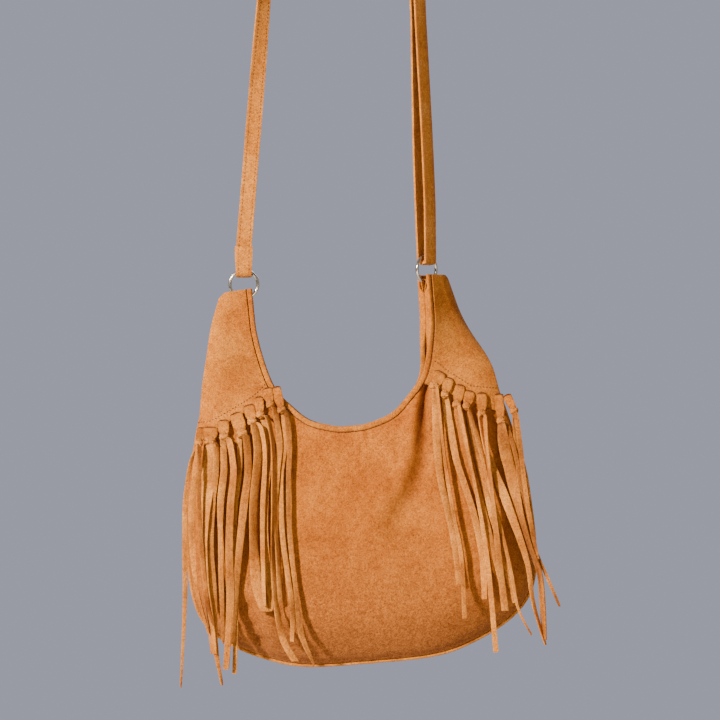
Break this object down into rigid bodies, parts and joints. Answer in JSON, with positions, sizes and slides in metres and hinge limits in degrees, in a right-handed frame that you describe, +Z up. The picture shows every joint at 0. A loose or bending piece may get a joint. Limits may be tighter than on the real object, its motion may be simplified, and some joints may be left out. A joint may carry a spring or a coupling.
{
  "type": "fringed suede shoulder bag",
  "caption": "Slouchy suede shoulder bag with a curved mouth, two ring-hung ears, an adjustable strap and knotted fringe.",
  "frame": {"origin": "middle of the underside of the strap's crown, where the shoulder or a hook holds it", "axes": "+Z up, the bag's front faces -Y, +X to the right seen from the front"},
  "size_m": [0.3765, 0.0849, 0.97],
  "materials": {
    "suede": "napped suede",
    "thong_suede": "napped suede",
    "strap_suede": "napped suede",
    "metal": "polished"
  },
  "bodies": {
    "strap": {"strap": "strap_suede", "slider": "metal"},
    "ring_left": {"ring_left": "metal"},
    "ring_right": {"ring_right": "metal"},
    "bag": {"front_panel": "suede", "back_panel": "suede", "front_yoke_left": "suede", "front_yoke_right": "suede", "mouth_binding_front": "suede", "mouth_binding_back": "suede", "seam_welt": "suede", "ring_tab_left": "suede", "ring_tab_right": "suede", "thong_left_1": "thong_suede", "thong_left_2": "thong_suede", "thong_left_3": "thong_suede", "thong_left_4": "thong_suede", "thong_left_5": "thong_suede", "thong_left_6": "thong_suede", "thong_left_7": "thong_suede", "thong_left_8": "thong_suede", "thong_right_1": "thong_suede", "thong_right_2": "thong_suede", "thong_right_3": "thong_suede", "thong_right_4": "thong_suede", "thong_right_5": "thong_suede", "thong_right_6": "thong_suede", "thong_right_7": "thong_suede"}
  },
  "joints": [
    {"name": "ring_left_swing", "type": "hinge", "parent": "strap", "child": "ring_left", "pos_m": [-0.10112, 0, -0.5554], "axis": [0.9956, 0.045, 0.0819], "range_deg": [-15, 15]},
    {"name": "ring_right_swing", "type": "hinge", "parent": "strap", "child": "ring_right", "pos_m": [0.08175, 0.00827, -0.54037], "axis": [0.9956, 0.045, 0.0819], "range_deg": [-15, 15]},
    {"name": "bag_swing", "type": "hinge", "parent": "ring_left", "child": "bag", "pos_m": [-0.10112, 0, -0.5832], "axis": [0.9956, 0.045, 0.0819], "range_deg": [-10, 10]}
  ],
  "couplings": [
    {"joint": "ring_right_swing", "follows": "ring_left_swing", "ratio": 1}
  ]
}
